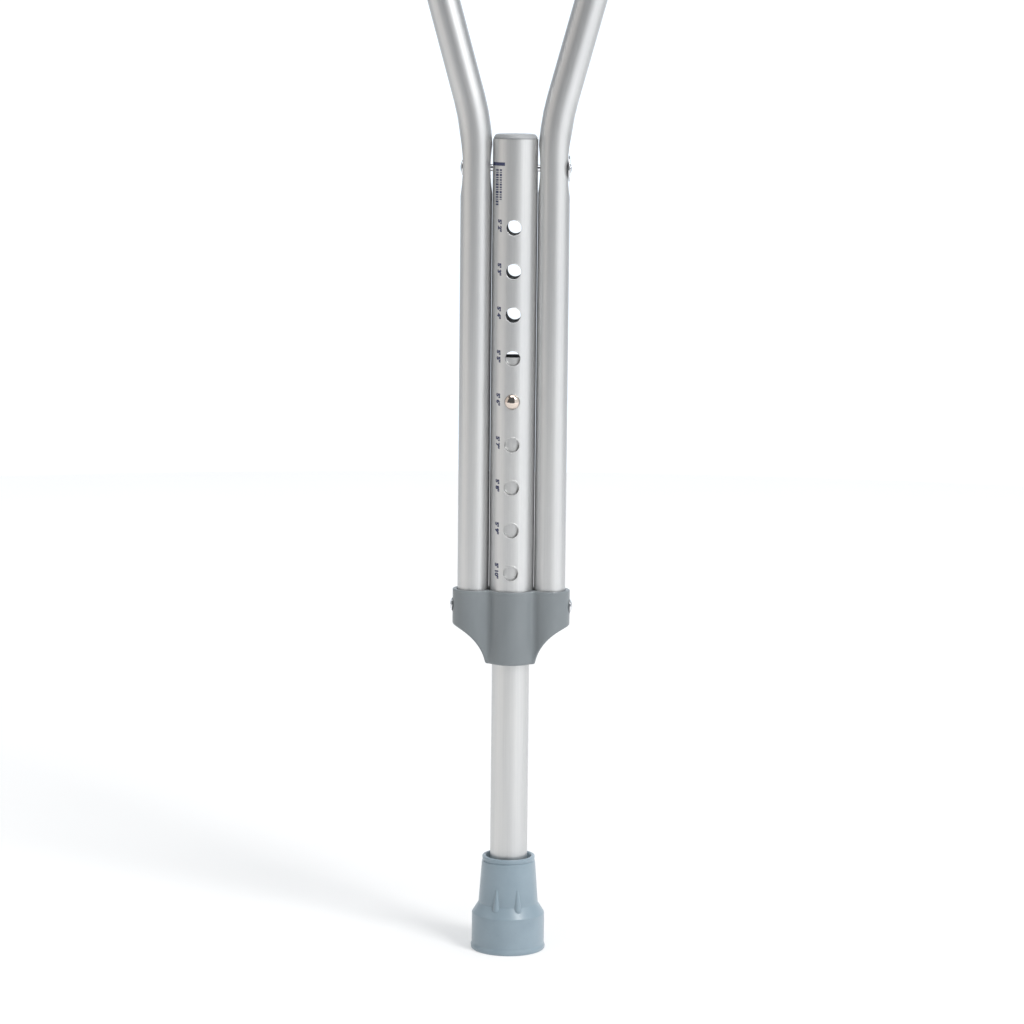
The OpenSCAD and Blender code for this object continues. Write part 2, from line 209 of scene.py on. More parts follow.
def set_points(piece, points):
    piece.data.vertices.foreach_set("co", (points * MM).ravel())
    piece.data.update()


def pull_to(piece, field, rounds=8):
    """Moves a mesh's points onto the surface where field(points) is 0."""
    points = points_of(piece)
    eps, longest_step = 0.02, 0.8
    for _ in range(rounds):
        value = field(points)
        nudges = eps * np.eye(3)
        slope = np.stack([(field(points + n) - field(points - n)) / (2 * eps) for n in nudges], axis=1)
        size = np.maximum((slope ** 2).sum(1), 0.2)
        step = np.clip(value / size, -longest_step, longest_step)
        points -= step[:, None] * slope
    set_points(piece, points)
    piece.data.shade_smooth()
    piece.data.set_sharp_from_angle(angle=math.radians(60))


def inflate(piece, pressure, cap):
    """Swells a soft piece with a short cloth simulation, moving no point by more than cap millimetres."""
    before = points_of(piece)
    frames = 20
    cloth = piece.modifiers.new("inflate", "CLOTH")
    cloth.settings.use_pressure = True
    cloth.settings.uniform_pressure_force = pressure
    cloth.settings.effector_weights.gravity = 0
    cloth.settings.quality = 5
    cloth.settings.mass = 0.02
    cloth.settings.tension_stiffness = 5
    cloth.settings.compression_stiffness = 5
    cloth.settings.bending_stiffness = 2
    cloth.collision_settings.use_collision = False
    cloth.point_cache.frame_end = frames
    for number in range(1, frames + 1):
        scene.frame_set(number)
    depsgraph = bpy.context.evaluated_depsgraph_get()
    after = np.array([v.co[:] for v in piece.evaluated_get(depsgraph).data.vertices]) / MM
    piece.modifiers.clear()
    scene.frame_set(1)
    move = after - before
    length = np.linalg.norm(move, axis=1)
    move *= (np.minimum(length, cap) / np.maximum(length, 1e-9))[:, None]
    set_points(piece, before + move)


def subdivided(piece, levels):
    """Subdivides a piece smoothly."""
    finer = piece.modifiers.new("smooth", "SUBSURF")
    finer.levels = finer.render_levels = levels
    apply_modifiers(piece)


# ---- Materials ----

def material(name, colour, roughness, metallic=0.0, sheen=0.0):
    """A new material and its node tree, with what is the same all over set on the shader."""
    made = bpy.data.materials.new(name)
    made.use_nodes = True
    shader = made.node_tree.nodes["Principled BSDF"]
    shader.inputs["Base Color"].default_value = (*colour, 1)
    shader.inputs["Roughness"].default_value = roughness
    shader.inputs["Metallic"].default_value = metallic
    shader.inputs["Sheen Weight"].default_value = sheen
    made.diffuse_color = (*colour, 1)
    return made, made.node_tree, shader


def node(tree, kind, **values):
    """A node, with its properties and unlinked inputs set by name."""
    made = tree.nodes.new(kind)
    for key, value in values.items():
        if hasattr(made, key):
            setattr(made, key, value)
        else:
            made.inputs[key.replace("_", " ").title()].default_value = value
    return made


def stretched_noise(tree, scale, detail=4.0, vector=None):
    """Noise in object space, with its own scale along X, Y and Z, in cycles per metre."""
    if vector is None:
        vector = tree.nodes.new("ShaderNodeTexCoord").outputs["Object"]
    mapping = tree.nodes.new("ShaderNodeMapping")
    mapping.inputs["Scale"].default_value = scale
    tree.links.new(vector, mapping.inputs["Vector"])
    noise = tree.nodes.new("ShaderNodeTexNoise")
    noise.inputs["Scale"].default_value = 1.0
    noise.inputs["Detail"].default_value = detail
    tree.links.new(mapping.outputs["Vector"], noise.inputs["Vector"])
    return noise.outputs["Fac"]


def spread(tree, value, low, high, start=0.3, end=0.7):
    """Maps start..end of a value to low..high."""
    made = tree.nodes.new("ShaderNodeMapRange")
    for key, number in (("From Min", start), ("From Max", end), ("To Min", low), ("To Max", high)):
        made.inputs[key].default_value = number
    tree.links.new(value, made.inputs["Value"])
    return made.outputs["Result"]


def blend_colours(tree, value, first, second):
    """Mixes two colours by a value from 0 to 1."""
    mix = tree.nodes.new("ShaderNodeMix")
    mix.data_type = "RGBA"
    tree.links.new(value, mix.inputs[0])
    for socket, colour in ((mix.inputs[6], first), (mix.inputs[7], second)):
        if isinstance(colour, tuple):
            socket.default_value = (*colour, 1)
        else:
            tree.links.new(colour, socket)
    return mix.outputs[2]


def bump(tree, shader, height, strength, depth, before=None):
    """Adds relief of a depth in metres. before is an earlier bump to build on."""
    made = tree.nodes.new("ShaderNodeBump")
    made.inputs["Strength"].default_value = strength
    made.inputs["Distance"].default_value = depth
    tree.links.new(height, made.inputs["Height"])
    if before is not None:
        tree.links.new(before.outputs["Normal"], made.inputs["Normal"])
    tree.links.new(made.outputs["Normal"], shader.inputs["Normal"])
    return made


def along_upright(tree):
    """Object coordinates with X measured from the bent upright's own centre line."""
    low, high = box_mm("right_upright")
    radius = (high[1] - low[1]) / 2
    close_x, wide_x = low[0] + radius, high[0] - radius
    slope_start, slope_end = 491.2, 644.8
    coordinates = tree.nodes.new("ShaderNodeTexCoord").outputs["Object"]
    split = tree.nodes.new("ShaderNodeSeparateXYZ")
    tree.links.new(coordinates, split.inputs["Vector"])
    side = node(tree, "ShaderNodeMath", operation="ABSOLUTE")
    tree.links.new(split.outputs["X"], side.inputs[0])
    line = spread(tree, split.outputs["Z"], close_x * MM, wide_x * MM, slope_start * MM, slope_end * MM)
    off = node(tree, "ShaderNodeMath", operation="SUBTRACT")
    tree.links.new(side.outputs[0], off.inputs[0])
    tree.links.new(line, off.inputs[1])
    join = tree.nodes.new("ShaderNodeCombineXYZ")
    tree.links.new(off.outputs[0], join.inputs["X"])
    tree.links.new(split.outputs["Y"], join.inputs["Y"])
    tree.links.new(split.outputs["Z"], join.inputs["Z"])
    return join.outputs["Vector"]


def aluminium(name, bent=False):
    """Satin anodised drawn tube: fine draw lines along the tube, faint clouding, small handling marks."""
    made, tree, shader = material(name, (0.7, 0.7, 0.69), 0.42, metallic=0.9)
    vector = along_upright(tree) if bent else None
    lines = stretched_noise(tree, (2200, 2200, 14), 5, vector)
    clouds = stretched_noise(tree, (60, 60, 9), 3, vector)
    grain = stretched_noise(tree, (3500, 3500, 2200), 2, vector)
    tone = blend_colours(tree, spread(tree, clouds, 0, 1), (0.68, 0.68, 0.67), (0.63, 0.635, 0.64))
    streaked = blend_colours(tree, spread(tree, lines, 0, 0.35), tone, (0.55, 0.555, 0.56))
    tree.links.new(streaked, shader.inputs["Base Color"])
    tree.links.new(spread(tree, lines, 0.38, 0.46), shader.inputs["Roughness"])
    first = bump(tree, shader, lines, 0.25, 0.00002)
    bump(tree, shader, grain, 0.12, 0.00002, before=first)
    return made


def moulded_plastic(name, dark, light, roughness=0.42):
    """Spark-eroded moulded plastic with slight flow marks."""
    made, tree, shader = material(name, light, roughness)
    flow = stretched_noise(tree, (70, 70, 25), 3)
    grain = stretched_noise(tree, (2600, 2600, 2600), 3)
    tree.links.new(blend_colours(tree, spread(tree, flow, 0, 1), dark, light), shader.inputs["Base Color"])
    tree.links.new(spread(tree, grain, roughness - 0.06, roughness + 0.08), shader.inputs["Roughness"])
    bump(tree, shader, grain, 0.35, 0.00004)
    return made


def rubber(name, dark, light):
    """Moulded rubber with a fine bloom and dust in its pores."""
    roughness = 0.32
    made, tree, shader = material(name, light, roughness, sheen=0.12)
    shader.inputs["Sheen Roughness"].default_value = 0.5
    bloom = stretched_noise(tree, (45, 45, 45), 4)
    pores = stretched_noise(tree, (1500, 1500, 1500), 4)
    tree.links.new(blend_colours(tree, spread(tree, bloom, 0, 1), dark, light), shader.inputs["Base Color"])
    tree.links.new(spread(tree, pores, roughness - 0.05, roughness + 0.12), shader.inputs["Roughness"])
    bump(tree, shader, pores, 0.3, 0.00006)
    return made


def foam_skin(name, dark, light):
    """Pebbled skin on moulded foam: rounded cells, painted shade in the creases between them and a parting
    line along the middle.
    """
    made, tree, shader = material(name, light, 0.55, sheen=0.2)
    shader.inputs["Sheen Roughness"].default_value = 0.4
    coordinates = tree.nodes.new("ShaderNodeTexCoord").outputs["Object"]
    cells = tree.nodes.new("ShaderNodeTexVoronoi")
    cells.feature = "SMOOTH_F1"
    cells.inputs["Scale"].default_value = 750
    cells.inputs["Smoothness"].default_value = 0.6
    tree.links.new(coordinates, cells.inputs["Vector"])
    pebble = spread(tree, cells.outputs["Distance"], 1, 0, 0.1, 0.75)
    clouds = stretched_noise(tree, (28, 28, 28), 4)
    tone = blend_colours(tree, spread(tree, clouds, 0, 1), dark, light)
    # Painted shade: the creases between the pebbles are darkened in the base colour.
    crease_shaded = blend_colours(tree, spread(tree, pebble, 0.45, 0, 0, 0.5), tone, tuple(c * 0.55 for c in dark))
    tree.links.new(crease_shaded, shader.inputs["Base Color"])
    tree.links.new(spread(tree, pebble, 0.68, 0.5, 0, 1), shader.inputs["Roughness"])
    pebbled = bump(tree, shader, pebble, 0.5, 0.00022)
    beside = node(tree, "ShaderNodeMath", operation="ABSOLUTE")
    place = tree.nodes.new("ShaderNodeSeparateXYZ")
    tree.links.new(coordinates, place.inputs[0])
    tree.links.new(place.outputs["Y"], beside.inputs[0])
    bump(tree, shader, spread(tree, beside.outputs[0], 1, 0, 0.0003, 0.0008), 0.9, 0.0005, pebbled)
    return made


def plated(name, colour, roughness):
    """Bright plated steel with polishing haze."""
    made, tree, shader = material(name, colour, roughness, metallic=1.0)
    haze = stretched_noise(tree, (900, 900, 900), 4)
    tree.links.new(spread(tree, haze, roughness * 0.7, roughness * 1.6), shader.inputs["Roughness"])
    tint = tuple(c * 0.82 for c in colour)
    tree.links.new(blend_colours(tree, spread(tree, haze, 0, 0.6), colour, tint), shader.inputs["Base Color"])
    bump(tree, shader, haze, 0.08, 0.00003)
    return made


def ink(name):
    """Screen-printed navy ink, a little uneven."""
    made, tree, shader = material(name, (0.016, 0.024, 0.085), 0.45)
    cover = stretched_noise(tree, (2500, 2500, 2500), 3)
    tree.links.new(
        blend_colours(tree, spread(tree, cover, 0, 1), (0.014, 0.02, 0.075), (0.05, 0.06, 0.13)),
        shader.inputs["Base Color"],
    )
    return made


upright_metal = aluminium("upright_aluminium", bent=True)
tube_metal = aluminium("tube_aluminium")
collar_plastic = moulded_plastic("collar_plastic", (0.178, 0.199, 0.211), (0.212, 0.235, 0.248), 0.34)
cap_plastic = moulded_plastic("cap_plastic", (0.26, 0.27, 0.28), (0.33, 0.34, 0.35), 0.35)
core_plastic = moulded_plastic("core_plastic", (0.015, 0.016, 0.018), (0.028, 0.029, 0.032), 0.45)
tip_rubber = rubber("tip_rubber", (0.23, 0.30, 0.35), (0.28, 0.355, 0.41))
foam = foam_skin("cushion_foam", (0.13, 0.165, 0.19), (0.18, 0.22, 0.25))
zinc = plated("plated_steel", (0.80, 0.81, 0.83), 0.16)
nickel = plated("nickel_button", (0.70, 0.61, 0.54), 0.06)
spring_steel = plated("spring_steel", (0.36, 0.36, 0.37), 0.3)
navy_ink = ink("navy_ink")


# ---- CAD nodes that keep their shape ----

def hole_rims():
    """The lightly rolled rims of the centre tube's height holes, front and rear."""
    tube_r = box_mm("centre_tube")[1][0]
    ring_r = 0.22
    around, section = 64, 10
    points, faces = [], []
    for side in (-1, 1):
        for i in range(HOLES):
            start = len(points)
            for k in range(around):
                a = 2 * math.pi * k / around
                for m in range(section):
                    b = 2 * math.pi * m / section
                    out = HOLE_R + ring_r + ring_r * math.cos(b)
                    x, z = out * math.cos(a), FIRST_HOLE + i * HOLE_PITCH + out * math.sin(a)
                    lift = 0.6 * ring_r * math.sin(b) - 0.05
                    points.append((x, side * (math.sqrt(tube_r ** 2 - x ** 2) + lift), z))
            for k in range(around):
                for m in range(section):
                    corners = ((k, m), (k + 1, m), (k + 1, m + 1), (k, m + 1))
                    face = [start + (c % around) * section + d % section for c, d in corners]
                    faces.append(face if side > 0 else face[::-1])
    piece = mesh_piece("hole_rims", points, faces, 80)
    link(piece, tube_metal, "frame")


def keep_nodes():
    """Gives materials to the tubes and hidden pieces, which keep their CAD shapes."""
    kept = {
        "left_upright": upright_metal, "right_upright": upright_metal,
        "centre_tube": tube_metal, "leg_tube": tube_metal,
        "underarm_bar": core_plastic, "underarm_screws": zinc,
        "tip_insert": zinc, "snap_spring": spring_steel,
    }
    for name, look in kept.items():
        mesh = frame["nodes"][name].data
        mesh.materials.clear()
        mesh.materials.append(look)


# ---- Collar ----

def collar():
    """The three-lobed moulding, with fillets between its lobes and soft edges."""
    low, high = box_mm("collar")
    upright_low, upright_high = box_mm("right_upright")
    upright_r = (upright_high[1] - upright_low[1]) / 2
    close_x = upright_low[0] + upright_r
    tube_r = box_mm("centre_tube")[1][0]
    tube_bottom = box_mm("centre_tube")[0][2]
    leg_r = box_mm("leg_tube")[1][0]
    ear_r, lobe_r = high[0] - close_x, high[1]
    scoop_x, scoop_z, scoop_r = 42.4, low[2] - 4.3, 28.0
    gap = 0.25

    def field(p):
        x, y, z = np.abs(p[:, 0]), p[:, 1], p[:, 2]
        out = np.hypot(x, y)
        ear = np.hypot(x - close_x, y)
        plan = smooth_min(ear - ear_r, out - lobe_r, 4.0)
        body = smooth_max(plan, z - high[2], 0.7)
        body = smooth_max(body, low[2] - z, 1.6)
        body = smooth_max(body, scoop_r - np.hypot(x - scoop_x, z - scoop_z), 1.3)
        upright_hole = np.maximum(ear - upright_r - gap, upright_low[2] - z)
        tube_hole = np.maximum(out - tube_r - gap, tube_bottom - z)
        slot = np.maximum(np.maximum(np.abs(y) - 3, x - close_x), upright_low[2] - z)
        hollow = np.minimum(np.minimum(upright_hole, tube_hole), np.minimum(slot, out - leg_r - gap))
        return smooth_max(body, -hollow, 0.7)

    piece = remeshed("collar_moulding", frame["nodes"]["collar"].data, 0.55)
    pull_to(piece, field)
    return link(piece, collar_plastic, "frame", ["collar"])


def collar_rivet_heads():
    """The domed blind rivets at the two ears, each with its mandrel's end in the middle."""
    low, high = box_mm("collar_rivets")
    z = (low[2] + high[2]) / 2
    ear_x = box_mm("collar")[1][0]
    head_r, head_h = (high[2] - low[2]) / 2, high[0] - ear_x
    corners = [
        (0, -6, 0), (2.4, -6, 0.4), (2.4, -4.2, 0.3), (1.6, -4, 0), (1.6, 0, 0), (head_r, 0, 0.1),
        (head_r, 0.35, 0.25), (head_r * 0.7, head_h * 0.8, 2), (1.5, head_h, 0.4), (1.3, head_h - 0.35, 0.1),
        (0.9, head_h - 0.3, 0.1), (0, head_h - 0.1, 0),
    ]
    for side, axis in (("left", "-X"), ("right", "+X")):
        origin = (math.copysign(ear_x, AXES[axis][0, 2]), 0, z)
        piece = turned_piece(f"collar_rivet_{side}", corners, axis, origin, 64)
        link(piece, zinc, "frame", ["collar_rivets"])


# ---- Centre tube's fittings ----

def tube_cap():
    """The plastic plug, with a rolled edge and a gate mark."""
    low, high = box_mm("centre_tube_cap")
    tube_top = box_mm("centre_tube")[1][2]
    head_r = high[0]
    plug_r = 11.2
    corners = [
        (0, low[2], 0), (plug_r, low[2], 0.6), (plug_r, tube_top - 0.02, 0), (head_r, tube_top + 0.02, 0.25),
        (head_r, tube_top + 0.9, 0.4), (head_r - 1.2, high[2] - 0.25, 1.6), (head_r * 0.55, high[2], 8),
        (1.6, high[2] - 0.05, 0.2), (1.4, high[2] - 0.3, 0.1), (0, high[2] - 0.3, 0),
    ]
    piece = turned_piece("tube_cap", corners, "+Z", (0, 0, 0), 128)
    link(piece, cap_plastic, "frame", ["centre_tube_cap"])


def through_rivet():
    """The rivet across both uprights and the centre tube, and its dished washer."""
    low, high = box_mm("through_rivet")
    washer_low, washer_high = box_mm("rivet_washer")
    z = (low[2] + high[2]) / 2
    head_r, shank_r, peened_r = (high[2] - low[2]) / 2, 2.1, 2.7
    head_h = 1.8
    base = low[0] + head_h
    corners = [
        (0, low[0], 0), (1.0, low[0], 0.4), (head_r * 0.72, low[0] + 0.65, 2.5), (head_r, base - 0.5, 0.4),
        (head_r, base, 0.1), (shank_r, base, 0), (shank_r, washer_high[0], 0),
        (peened_r, washer_high[0], 0.2), (peened_r, washer_high[0] + 0.45, 0.5), (1.5, high[0], 0.4),
        (1.0, high[0] - 0.3, 0.2), (0, high[0] - 0.4, 0),
    ]
    piece = turned_piece("through_rivet_shaped", corners, "+X", (0, 0, z), 64)
    link(piece, zinc, "frame", ["through_rivet"])

    washer_r = (washer_high[2] - washer_low[2]) / 2
    x0, x1 = washer_low[0], washer_high[0]
    ring = [
        (shank_r + 0.1, x0, 0.1), (shank_r + 1, x0, 0.3), (washer_r - 0.1, x0 + 0.55, 0.15),
        (washer_r, x1 - 0.25, 0.2), (washer_r - 0.5, x1, 0.2), (shank_r + 1.4, x0 + 1.15, 0.5),
        (shank_r + 0.1, x0 + 1.15, 0.1),
    ]
    piece = turned_piece("rivet_washer_shaped", ring, "+X", (0, 0, z), 96, closed=True)
    link(piece, zinc, "frame", ["rivet_washer"])


def snap_buttons():
    """The polished buttons: a dome on a short shank, a flange and the riveted tail."""
    low, high = box_mm("front_button")
    z = (low[2] + high[2]) / 2
    top, tail = -low[1], -high[1]
    head_r, tail_r = 4.27, 1.4
    flange_r, flange_back, flange_front = 5.3, 7.4, 8.2
    corners = [
        (0, tail, 0), (tail_r, tail, 0.2), (tail_r, flange_back, 0), (flange_r, flange_back, 0.2),
        (flange_r, flange_front, 0.2), (head_r, flange_front, 0),
        (head_r, top - 2.3, 0.25), (head_r - 0.25, top - 1.55, 0.5), (head_r * 0.72, top - 0.62, 2.2),
        (head_r * 0.35, top - 0.06, 2), (0, top, 0),
    ]
    for name, axis in (("front_button", "-Y"), ("rear_button", "+Y")):
        piece = turned_piece(f"{name}_dome", corners, axis, (0, 0, z), 96)
        link(piece, nickel, name, [name])


# ---- Print on the centre tube ----

def wrap_on_tube(piece, radius):
    """Bends a flat solid onto the tube's front: X is arc length, Y height and Z ink depth."""
    sink = 0.02
    mesh = bmesh.new()
    mesh.from_mesh(piece.data)
    reach = max(abs(v.co.x) for v in mesh.verts) if mesh.verts else 0
    step = 0.4
    for k in range(-int(reach / step), int(reach / step) + 1):
        everything = mesh.verts[:] + mesh.edges[:] + mesh.faces[:]
        bmesh.ops.bisect_plane(mesh, geom=everything, plane_co=(k * step, 0, 0), plane_no=(1, 0, 0))
    for v in mesh.verts:
        a, r = v.co.x / radius, radius - sink + v.co.z
        v.co = Vector((r * math.sin(a), -r * math.cos(a), v.co.y)) * MM
    mesh.normal_update()
    mesh.to_mesh(piece.data)
    mesh.free()


def ink_bars(bars):
    """Points and faces of flat ink bars, each (x0, x1, y0, y1)."""
    points, faces = [], []
    for x0, x1, y0, y1 in bars:
        n = len(points)
        points += [(x, y, z) for z in (0, INK_DEPTH) for x, y in ((x0, y0), (x1, y0), (x1, y1), (x0, y1))]
        sides = [(n + i, n + (i + 1) % 4, n + 4 + (i + 1) % 4, n + 4 + i) for i in range(4)]
        faces += [(n + 3, n + 2, n + 1, n), (n + 4, n + 5, n + 6, n + 7), *sides]
    return points, faces


def flat_text(name, words, size):
    """Words as a flat solid in Blender's own font, in millimetres, read along +X from the origin."""
    curve = bpy.data.curves.new(name, "FONT")
    curve.body = words
    curve.size = size
    curve.extrude = INK_DEPTH / 2
    curve.offset = size * 0.062
    curve.resolution_u = 3
    shape = bpy.data.objects.new(name, curve)
    scene.collection.objects.link(shape)
    depsgraph = bpy.context.evaluated_depsgraph_get()
    mesh = bpy.data.meshes.new_from_object(shape.evaluated_get(depsgraph))
    bpy.data.objects.remove(shape)
    mesh.transform(Matrix.Translation((0, 0, INK_DEPTH / 2)))
    return mesh


def height_scale():
    """The generic height scale: a navy bar, two dashed lines and a number at each hole."""
    radius = box_mm("centre_tube")[1][0]
    arc = math.radians(1) * radius
    rivet_z = sum(box_mm("through_rivet")[i][2] for i in (0, 1)) / 2
    bar_z = rivet_z + 1.6
    bars = [(-75 * arc, -25 * arc, bar_z, bar_z + 2)]
    for start, end, bottom in ((-41, -34, 447.5), (-56, -45, 445)):
        top = bar_z - 2
        widths = (1.0, 0.55, 1.3, 0.7, 0.9, 0.55, 1.1)
        z, k = top, 0
        while z - widths[k % len(widths)] > bottom:
            width = widths[k % len(widths)]
            bars.append((start * arc, end * arc, z - width, z))
            z -= width + 0.55
            k += 1
    points, faces = ink_bars(bars)
    marks = mesh_piece("scale_marks", np.array(points) / MM, faces)
    wrap_on_tube(marks, radius)
    link(marks, navy_ink, "frame")

    tallest = 12 * 5 + 10
    glyph_h, baseline = 2.5, -44.5 * arc
    for i in range(HOLES):
        inches = tallest - i
        words = f"{inches // 12}' {inches % 12}\""
        mesh = flat_text("number", words, glyph_h * 1.38)
        points = np.array([v.co[:] for v in mesh.vertices])
        centre = (points[:, 0].min() + points[:, 0].max()) / 2
        length = 1.15 * (points[:, 0] - centre) - 1.2
        turned = np.stack([points[:, 1] + baseline, FIRST_HOLE + i * HOLE_PITCH - length, points[:, 2]], 1)
        mesh.vertices.foreach_set("co", turned.ravel())
        number = bpy.data.objects.new(f"scale_number_{i + 1}", mesh)
        wrap_on_tube(number, radius)
        link(number, navy_ink, "frame")


# ---- Rubber tip ----

def rubber_tip():
    """The tip: ringed foot, body, shoulder, ribbed cone, groove and lip."""
    high = box_mm("rubber_tip")[1]
    foot_r, top = high[0], high[2]
    body_r, cone_z, cone_r, neck_r, mouth_r = foot_r - 0.6, 28.2, 17.7, 15.8, 13.7
    bore_r = box_mm("leg_tube")[1][0] + 0.05
    floor = 9.4
    corners = [
        (0, 0, 0), (5, 0, 0.3), (5, 1.2, 0.3), (8, 1.2, 0.3), (8, 0, 0.3), (13, 0, 0.3), (13, 1.2, 0.3),
        (16, 1.2, 0.3), (16, 0, 0.3), (foot_r, 0, 0.8), (foot_r, 2.0, 0.7), (body_r, 3.6, 0.8),
        (body_r, 21.9, 0.9), (cone_r, cone_z, 1.1), (neck_r, top - 3.4, 0.3), (neck_r - 0.75, top - 3.0, 0.3),
        (neck_r - 0.15, top - 2.3, 0.5), (neck_r - 0.1, top - 0.4, 0.5), (neck_r - 1.1, top, 0.6),
        (mouth_r, top - 0.2, 0.7), (bore_r, top - 7, 1), (bore_r, floor, 0.2), (0, floor, 0),
    ]
    outline = rounded(corners, 4)
    rib_start, rib_end = 24.0, 42.0
    dense = [outline[0]]
    for a, b in zip(outline, outline[1:]):
        near_ribs = min(a[0], b[0]) > neck_r - 0.1 and a[1] < rib_end and b[1] > rib_start
        steps = max(1, int(np.linalg.norm(b - a) / (0.35 if near_ribs else 3)))
        dense += [a + (b - a) * k / steps for k in range(1, steps + 1)]
    steps = 480
    points, faces = lathe(dense, "+Z", (0, 0, 0), steps)

    out = np.hypot(points[:, 0], points[:, 1])
    angle = np.arctan2(points[:, 1], points[:, 0])
    z = points[:, 2]
    lean = (cone_r - neck_r) / (top - 3.4 - cone_z)
    rib_z, rib_l, rib_foot, rib_top = 27.0, 11.5, 2.15, 0.6
    share = np.clip((z - rib_z) / rib_l, 0, 1)
    rib_r = rib_foot + (rib_top - rib_foot) * share
    line_r = cone_r - 0.15 - lean * (z - rib_z)
    past = np.maximum(rib_z - z, z - rib_z - rib_l)
    outer = out > mouth_r + 1
    grown = out.copy()
    for middle in (-90, 90):
        for rib in (-21.5, 21.5):
            off = (angle - math.radians(middle + rib) + math.pi) % (2 * math.pi) - math.pi
            across = np.sin(off) * out
            inside = rib_r ** 2 - across ** 2 - np.maximum(past, 0) ** 2
            surface = np.where((inside > 0) & (np.cos(off) > 0), line_r + np.sqrt(np.maximum(inside, 0)), 0)
            raised = smooth_max(grown, surface, 0.5)
            grown = np.where(outer & (z > 20) & (surface > 0) & (raised > grown), raised, grown)
    seam = np.exp(-((np.abs(np.abs(angle) - math.pi / 2) - math.pi / 2) * out / 0.22) ** 2)
    grown += np.where(outer & (z > 1) & (z < top - 4), 0.12 * seam, 0)
    scale = np.where(out > 1e-6, grown / np.maximum(out, 1e-6), 1)
    points[:, :2] *= scale[:, None]
    piece = mesh_piece("rubber_tip_shaped", points, faces, 50)
    link(piece, tip_rubber, "leg", ["rubber_tip"])


# ---- Handgrip ----

def grip_core():
    """The hard core with its end flanges."""
    low, high = box_mm("grip_core")
    z = (low[2] + high[2]) / 2
    flange_r, core_r, bore_r, flange_h = (high[2] - low[2]) / 2, 9.5, 3.2, 3.0
    ring = [
        (bore_r, low[0], 0.3), (flange_r, low[0], 0.8), (flange_r, low[0] + flange_h, 0.8),
        (core_r, low[0] + flange_h, 0.3), (core_r, high[0] - flange_h, 0.3),
        (flange_r, high[0] - flange_h, 0.8), (flange_r, high[0], 0.8), (bore_r, high[0], 0.3),
    ]
    piece = turned_piece("grip_core_shaped", ring, "+X", (0, 0, z), 96, closed=True)
    link(piece, core_plastic, "handgrip", ["grip_core"])


def grip_cushion():
    """The foam sleeve: a barrel with finger hollows below, ribs above and a bead at each end."""
    low, high = box_mm("grip_cushion")
    z = (low[2] + high[2]) / 2
    half_l, inner_r, shrink = high[0], 9.8, 0.8
    finger_pitch, rib_pitch = 24, 5
    piece = remeshed("grip_cushion_foam", frame["nodes"]["grip_cushion"].data, 2.5)

    def polar():
        points = points_of(piece)
        out = np.hypot(points[:, 1], points[:, 2] - z)
        return points, out, (points[:, 1] / out, (points[:, 2] - z) / out)

    def place(points, out, direction):
        points[:, 0] = np.clip(points[:, 0], -half_l, half_l)
        points[:, 1], points[:, 2] = out * direction[0], z + out * direction[1]
        set_points(piece, points)

    points, out, direction = polar()
    place(points, np.where(out > 12, out - shrink, out), direction)
    link(piece, foam, "handgrip", ["grip_cushion"])
    inflate(piece, 12, 1.2)
    subdivided(piece, 2)
    points, out, direction = polar()
    x = points[:, 0]
    edge = half_l - np.abs(x)
    below = np.maximum(0, -direction[1]) ** 2
    middle = np.exp(-(x / (half_l * 0.78)) ** 8)
    relief = 0.9 * below * np.cos(x * 2 * math.pi / finger_pitch) * middle
    relief += 0.45 * np.cos(x * 2 * math.pi / rib_pitch) * (1 - below) * middle
    relief += 0.6 * np.exp(-((edge - 3.4) / 1.5) ** 2) - 0.9 * np.exp(-((edge - 7.0) / 1.1) ** 2)
    outside = np.clip((out - 12) / 2, 0, 1)
    place(points, np.maximum(out + relief * outside, inner_r), direction)
    piece.data.shade_smooth()


def grip_bolt():
    """The bolt with a domed head and a cut thread on its free end."""
    low, high = box_mm("grip_bolt")
    z = (low[2] + high[2]) / 2
    head_r, head_h = (high[2] - low[2]) / 2, 3.4
    base = low[0] + head_h
    shank_r = 3.1
    thread_start, pitch, depth = 66.0, 1.27, 0.62
    corners = [
        (0, low[0], 0), (1.5, low[0], 0.5), (head_r * 0.75, low[0] + 1.0, 3), (head_r, base - 0.7, 0.5),
        (head_r, base, 0.15), (shank_r, base, 0), (shank_r, thread_start, 0),
    ]
    outline = list(rounded(corners))
    fine = np.arange(thread_start + 0.1, high[0] - 0.6, 0.1)
    outline += [np.array([shank_r, x]) for x in fine]
    end = ((shank_r - 0.1, high[0] - 0.5), (shank_r - 0.7, high[0]), (0, high[0]))
    outline += [np.array(corner) for corner in end]
    steps = 64
    points, faces = lathe(outline, "+X", (0, 0, z), steps)
    out = np.hypot(points[:, 1], points[:, 2] - z)
    angle = np.arctan2(points[:, 2] - z, points[:, 1])
    turn = (points[:, 0] / pitch - angle / (2 * math.pi)) % 1
    cut = depth * np.clip(1.3 * (1 - np.abs(2 * turn - 1)) - 0.15, 0, 1)
    run_in = np.clip((points[:, 0] - thread_start) / 1.5, 0, 1)
    run_out = np.clip((high[0] - points[:, 0]) / 0.8, 0, 1)
    cut = np.where((out > shank_r - 0.2) & (points[:, 0] > thread_start), cut * run_in * run_out, 0)
    scale = np.where(out > 1e-6, (out - cut) / np.maximum(out, 1e-6), 1)
    points[:, 1] *= scale
    points[:, 2] = z + (points[:, 2] - z) * scale
    piece = mesh_piece("grip_bolt_threaded", points, faces, 30)
    link(piece, zinc, "handgrip", ["grip_bolt"])


